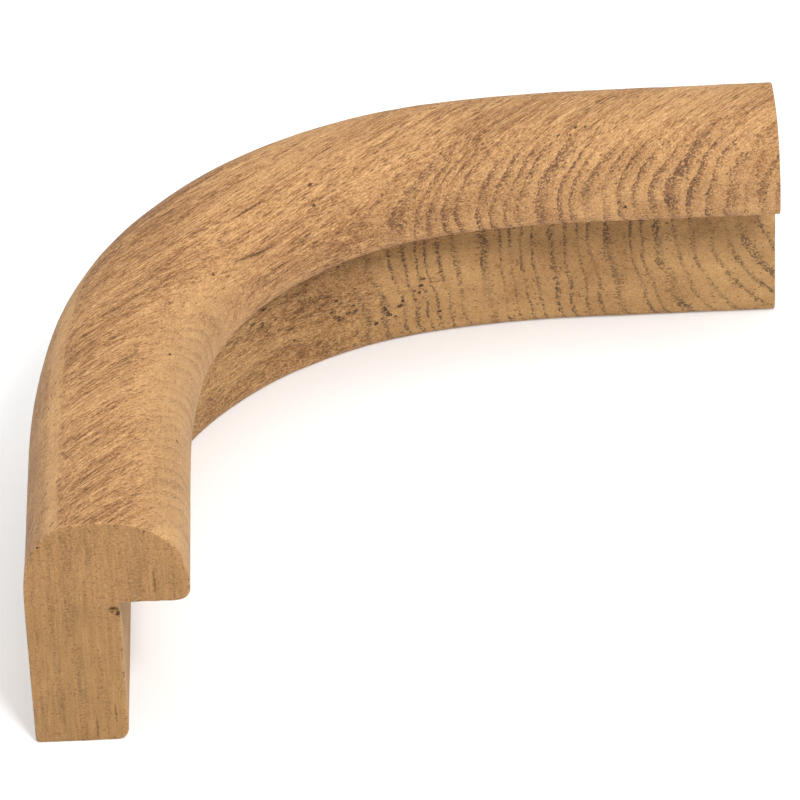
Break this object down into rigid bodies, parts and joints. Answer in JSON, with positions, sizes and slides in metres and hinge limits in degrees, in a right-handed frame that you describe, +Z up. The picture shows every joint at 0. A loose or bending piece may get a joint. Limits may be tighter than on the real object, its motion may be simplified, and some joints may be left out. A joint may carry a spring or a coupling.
{
  "type": "grab rail corner",
  "caption": "Solid wooden outside corner for a rebated grab rail: an oval hand head overhanging a plain stem, curved through a right angle, with square-cut ends.",
  "frame": {"origin": "middle of the plan's outer rectangle, at the underside of the stem, which is the resting plane", "axes": "+Z up, across the section's height; +X out of the square end of one arm and -Y out of the square end of the other arm"},
  "size_m": [0.1482, 0.1482, 0.05],
  "materials": {
    "teak": "raw, machine-moulded and sanded, unoiled"
  },
  "bodies": {
    "root": {"corner_rail": "teak"}
  },
  "joints": []
}
